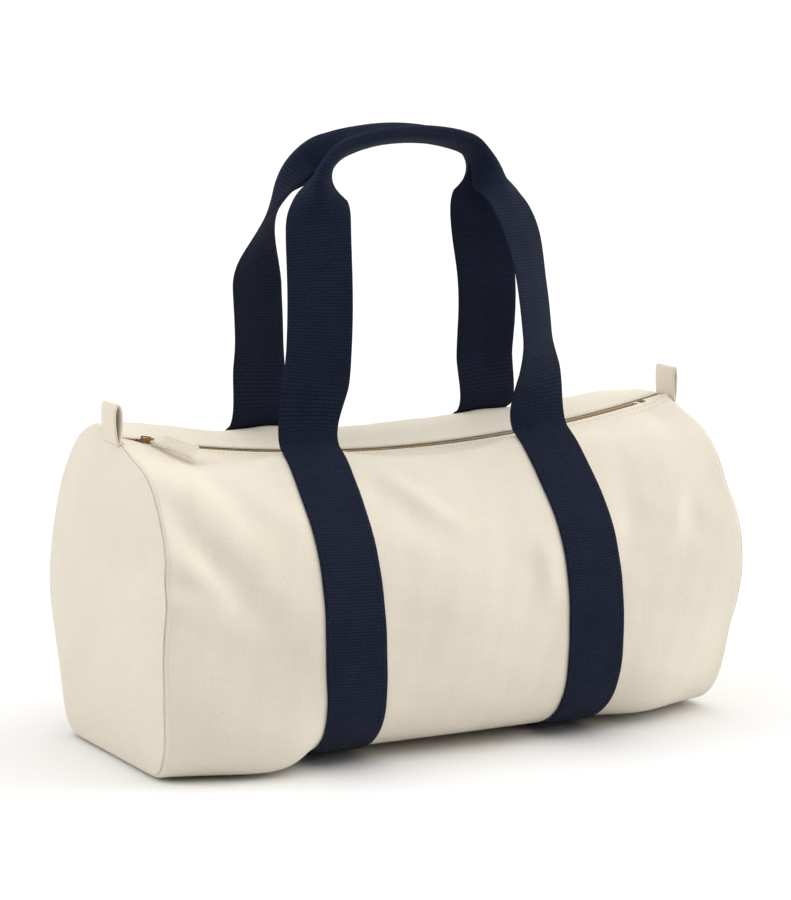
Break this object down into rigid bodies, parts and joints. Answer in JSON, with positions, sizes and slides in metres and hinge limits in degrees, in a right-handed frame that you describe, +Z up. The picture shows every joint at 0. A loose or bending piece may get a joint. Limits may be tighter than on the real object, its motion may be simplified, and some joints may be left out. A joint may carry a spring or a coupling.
{
  "type": "barrel bag",
  "caption": "Soft canvas barrel bag with a sagging zip mouth, wrap-round webbing straps, upright carry handles and loops on the end seams.",
  "frame": {"origin": "under the middle of the bag, on the surface that it stands on", "axes": "+X along the barrel to the right end, -Y to the front, +Z up"},
  "size_m": [0.5226, 0.2554, 0.4726],
  "materials": {
    "natural_canvas": "unbleached cotton canvas, plain weave, matt",
    "navy_webbing": "navy cotton webbing, ribbed weave, matt",
    "cotton_tape": "woven cotton tape, matt",
    "antique_brass": "antique brass, dark and slightly worn"
  },
  "bodies": {
    "bag": {"main_panel": "natural_canvas", "left_end_panel": "natural_canvas", "right_end_panel": "natural_canvas", "left_seam_binding": "cotton_tape", "right_seam_binding": "cotton_tape", "left_strap": "navy_webbing", "right_strap": "navy_webbing", "front_zip_tape": "cotton_tape", "rear_zip_tape": "cotton_tape", "front_zip_teeth": "antique_brass", "rear_zip_teeth": "antique_brass", "zip_top_stops": "antique_brass", "zip_bottom_stop": "antique_brass"},
    "zip_slider": {"slider_body": "antique_brass", "slider_crown": "antique_brass"},
    "pull_link": {"pull_link": "antique_brass"},
    "pull_tab": {"pull_tab": "natural_canvas"},
    "front_handle": {"front_handle": "navy_webbing"},
    "rear_handle": {"rear_handle": "navy_webbing"},
    "left_end_loop": {"left_end_loop": "natural_canvas"},
    "right_end_loop": {"right_end_loop": "natural_canvas"}
  },
  "joints": [
    {"name": "zip_slide", "type": "hinge", "parent": "bag", "child": "zip_slider", "pos_m": [0, 0, 1.40875], "axis": [0, -1, 0], "range_deg": [0, 21], "deforming": ["front_zip_tape", "rear_zip_tape", "front_zip_teeth", "rear_zip_teeth", "pull_tab"]},
    {"name": "link_swing", "type": "hinge", "parent": "zip_slider", "child": "pull_link", "pos_m": [-0.21711, 0, 0.24422], "axis": [-0.8245, -0.5446, 0.1537], "range_deg": [0, 120]},
    {"name": "tab_swing", "type": "hinge", "parent": "pull_link", "child": "pull_tab", "pos_m": [-0.21211, -0.00747, 0.24456], "axis": [-0.8245, -0.5446, 0.1537], "range_deg": [0, 90]},
    {"name": "front_handle_fold", "type": "hinge", "parent": "bag", "child": "front_handle", "pos_m": [0, -0.046, 0.24277], "axis": [1, 0, 0], "range_deg": [0, 105]},
    {"name": "rear_handle_fold", "type": "hinge", "parent": "bag", "child": "rear_handle", "pos_m": [0, 0.046, 0.24277], "axis": [-1, 0, 0], "range_deg": [0, 105]},
    {"name": "left_loop_flop", "type": "hinge", "parent": "bag", "child": "left_end_loop", "pos_m": [-0.2471, 0, 0.2502], "axis": [0, 1, 0], "range_deg": [-60, 60], "stiffness_Nm_per_rad": 0.002},
    {"name": "right_loop_flop", "type": "hinge", "parent": "bag", "child": "right_end_loop", "pos_m": [0.2471, 0, 0.2502], "axis": [0, 1, 0], "range_deg": [-60, 60], "stiffness_Nm_per_rad": 0.002}
  ]
}
